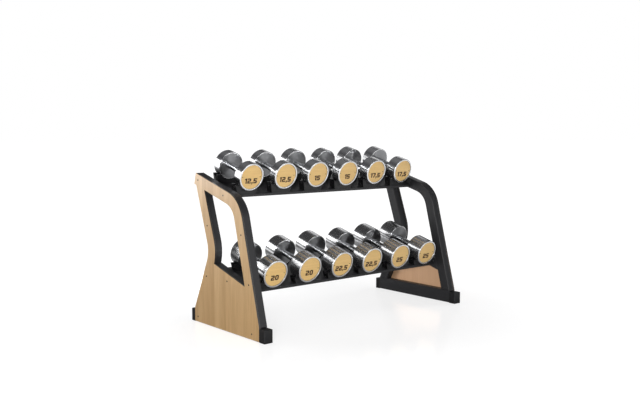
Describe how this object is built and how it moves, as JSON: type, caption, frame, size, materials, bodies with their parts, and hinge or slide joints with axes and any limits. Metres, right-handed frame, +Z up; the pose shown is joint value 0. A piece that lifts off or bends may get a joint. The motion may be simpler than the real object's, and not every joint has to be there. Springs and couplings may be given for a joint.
{
  "type": "dumbbell rack",
  "caption": "Two-tier steel dumbbell rack with wood-faced end frames, tilted trays, moulded saddles and round-head steel dumbbells that lift off.",
  "frame": {"origin": "on the floor, at the middle of the rack's width and depth", "axes": "+X along the rack to the right as seen from the front, +Y to the rear, +Z up"},
  "size_m": [1.4224, 0.66, 0.9189],
  "materials": {
    "frame": "matte black powder coat",
    "wood_panel": "satin lacquered beech",
    "cap": "matte moulded",
    "saddle": "matte moulded",
    "screw": "black",
    "chrome_head": "polished",
    "chrome_grip": "polished",
    "wood_disc": "satin lacquered, engraved"
  },
  "bodies": {
    "rack": {"left_bent_tube": "frame", "left_rear_leg": "frame", "left_cross_bar": "frame", "left_base_beam": "frame", "left_panel": "wood_panel", "right_bent_tube": "frame", "right_rear_leg": "frame", "right_cross_bar": "frame", "right_base_beam": "frame", "right_panel": "wood_panel", "panel_screws": "screw", "end_caps": "cap", "bar_plugs": "cap", "upper_tray": "frame", "lower_tray": "frame", "tray_bolts": "screw", "upper_front_saddles": "saddle", "upper_rear_saddles": "saddle", "lower_front_saddles": "saddle", "lower_rear_saddles": "saddle", "saddle_screws": "screw"},
    "upper_dumbbell_1": {"upper_1_heads": "chrome_head", "upper_1_grip": "chrome_grip", "upper_1_discs": "wood_disc"},
    "upper_dumbbell_2": {"upper_2_heads": "chrome_head", "upper_2_grip": "chrome_grip", "upper_2_discs": "wood_disc"},
    "upper_dumbbell_3": {"upper_3_heads": "chrome_head", "upper_3_grip": "chrome_grip", "upper_3_discs": "wood_disc"},
    "upper_dumbbell_4": {"upper_4_heads": "chrome_head", "upper_4_grip": "chrome_grip", "upper_4_discs": "wood_disc"},
    "upper_dumbbell_5": {"upper_5_heads": "chrome_head", "upper_5_grip": "chrome_grip", "upper_5_discs": "wood_disc"},
    "upper_dumbbell_6": {"upper_6_heads": "chrome_head", "upper_6_grip": "chrome_grip", "upper_6_discs": "wood_disc"},
    "lower_dumbbell_1": {"lower_1_heads": "chrome_head", "lower_1_grip": "chrome_grip", "lower_1_discs": "wood_disc"},
    "lower_dumbbell_2": {"lower_2_heads": "chrome_head", "lower_2_grip": "chrome_grip", "lower_2_discs": "wood_disc"},
    "lower_dumbbell_3": {"lower_3_heads": "chrome_head", "lower_3_grip": "chrome_grip", "lower_3_discs": "wood_disc"},
    "lower_dumbbell_4": {"lower_4_heads": "chrome_head", "lower_4_grip": "chrome_grip", "lower_4_discs": "wood_disc"},
    "lower_dumbbell_5": {"lower_5_heads": "chrome_head", "lower_5_grip": "chrome_grip", "lower_5_discs": "wood_disc"},
    "lower_dumbbell_6": {"lower_6_heads": "chrome_head", "lower_6_grip": "chrome_grip", "lower_6_discs": "wood_disc"}
  },
  "joints": [
    {"name": "lift_upper_1", "type": "slide", "parent": "rack", "child": "upper_dumbbell_1", "axis": [0, -0.274, 0.9617], "range_m": [0, 0.15]},
    {"name": "lift_upper_2", "type": "slide", "parent": "rack", "child": "upper_dumbbell_2", "axis": [0, -0.274, 0.9617], "range_m": [0, 0.15]},
    {"name": "lift_upper_3", "type": "slide", "parent": "rack", "child": "upper_dumbbell_3", "axis": [0, -0.274, 0.9617], "range_m": [0, 0.15]},
    {"name": "lift_upper_4", "type": "slide", "parent": "rack", "child": "upper_dumbbell_4", "axis": [0, -0.274, 0.9617], "range_m": [0, 0.15]},
    {"name": "lift_upper_5", "type": "slide", "parent": "rack", "child": "upper_dumbbell_5", "axis": [0, -0.274, 0.9617], "range_m": [0, 0.15]},
    {"name": "lift_upper_6", "type": "slide", "parent": "rack", "child": "upper_dumbbell_6", "axis": [0, -0.274, 0.9617], "range_m": [0, 0.15]},
    {"name": "lift_lower_1", "type": "slide", "parent": "rack", "child": "lower_dumbbell_1", "axis": [0, -0.274, 0.9617], "range_m": [0, 0.15]},
    {"name": "lift_lower_2", "type": "slide", "parent": "rack", "child": "lower_dumbbell_2", "axis": [0, -0.274, 0.9617], "range_m": [0, 0.15]},
    {"name": "lift_lower_3", "type": "slide", "parent": "rack", "child": "lower_dumbbell_3", "axis": [0, -0.274, 0.9617], "range_m": [0, 0.15]},
    {"name": "lift_lower_4", "type": "slide", "parent": "rack", "child": "lower_dumbbell_4", "axis": [0, -0.274, 0.9617], "range_m": [0, 0.15]},
    {"name": "lift_lower_5", "type": "slide", "parent": "rack", "child": "lower_dumbbell_5", "axis": [0, -0.274, 0.9617], "range_m": [0, 0.15]},
    {"name": "lift_lower_6", "type": "slide", "parent": "rack", "child": "lower_dumbbell_6", "axis": [0, -0.274, 0.9617], "range_m": [0, 0.15]}
  ]
}
